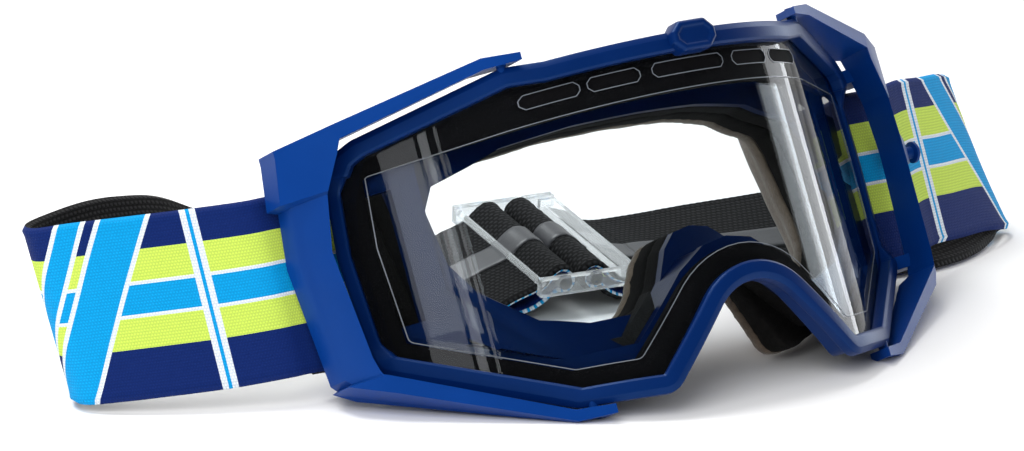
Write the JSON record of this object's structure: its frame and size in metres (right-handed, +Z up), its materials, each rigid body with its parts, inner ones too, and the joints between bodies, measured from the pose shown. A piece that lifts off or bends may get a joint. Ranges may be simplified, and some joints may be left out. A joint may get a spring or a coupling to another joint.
{
  "type": "motocross goggles",
  "caption": "Motocross goggles with a clear vented dual-pane lens, swinging strap arms, layered face foam and an elastic strap joined by a sliding clear adjuster.",
  "frame": {"origin": "middle of the whole object's box, on the table that it stands on", "axes": "+Z up from the table; +X across the face towards the wearer's left hand side, which is on the viewer's right; +Y from the lens back towards the wearer and the strap"},
  "size_m": [0.2744, 0.1375, 0.0857],
  "materials": {
    "frame": "moulded, semi-gloss",
    "lens": "clear, polished",
    "spacer": "matt closed-cell",
    "filter_foam": "open-cell, matt",
    "foam_base": "dense foam, matt",
    "foam_core": "soft foam, matt",
    "fleece": "short pile",
    "pins": "moulded",
    "strap": "woven elastic with printed stripes",
    "grip": "printed silicone, satin",
    "clear": "clear moulded"
  },
  "bodies": {
    "goggles": {"front_rim": "frame", "face_frame": "frame", "lens_outer": "lens", "lens_inner": "lens", "lens_spacer": "spacer", "vent_foam_top": "filter_foam", "vent_foam_low_left": "filter_foam", "vent_foam_low_right": "filter_foam", "face_foam_base": "foam_base", "face_foam_core": "foam_core", "face_foam_fleece": "fleece", "outrigger_pins_left": "pins", "outrigger_pins_right": "pins", "strap_left": "strap", "strap_right": "strap", "strap_grip_left": "grip", "strap_grip_right": "grip"},
    "arm_left": {"outrigger_left": "frame", "strap_end_left": "strap"},
    "arm_right": {"outrigger_right": "frame", "strap_end_right": "strap", "tear_off_post": "pins"},
    "adjuster": {"strap_adjuster": "clear", "strap_loop_left": "strap", "strap_loop_right": "strap"}
  },
  "joints": [
    {"name": "arm_left_pivot", "type": "hinge", "parent": "goggles", "child": "arm_left", "pos_m": [-0.04397, -0.03894, 0.04079], "axis": [0, 0.4384, 0.8988], "range_deg": [0, 8], "deforming": ["strap_left"]},
    {"name": "arm_right_pivot", "type": "hinge", "parent": "goggles", "child": "arm_right", "pos_m": [0.04003, -0.03894, 0.04079], "axis": [0, -0.4384, -0.8988], "range_deg": [0, 8], "deforming": ["strap_right"]},
    {"name": "adjuster_slide", "type": "slide", "parent": "goggles", "child": "adjuster", "axis": [0.9921, -0.1253, 0], "range_m": [-0.009, 0.009], "deforming": ["strap_loop_left", "strap_loop_right"]}
  ]
}
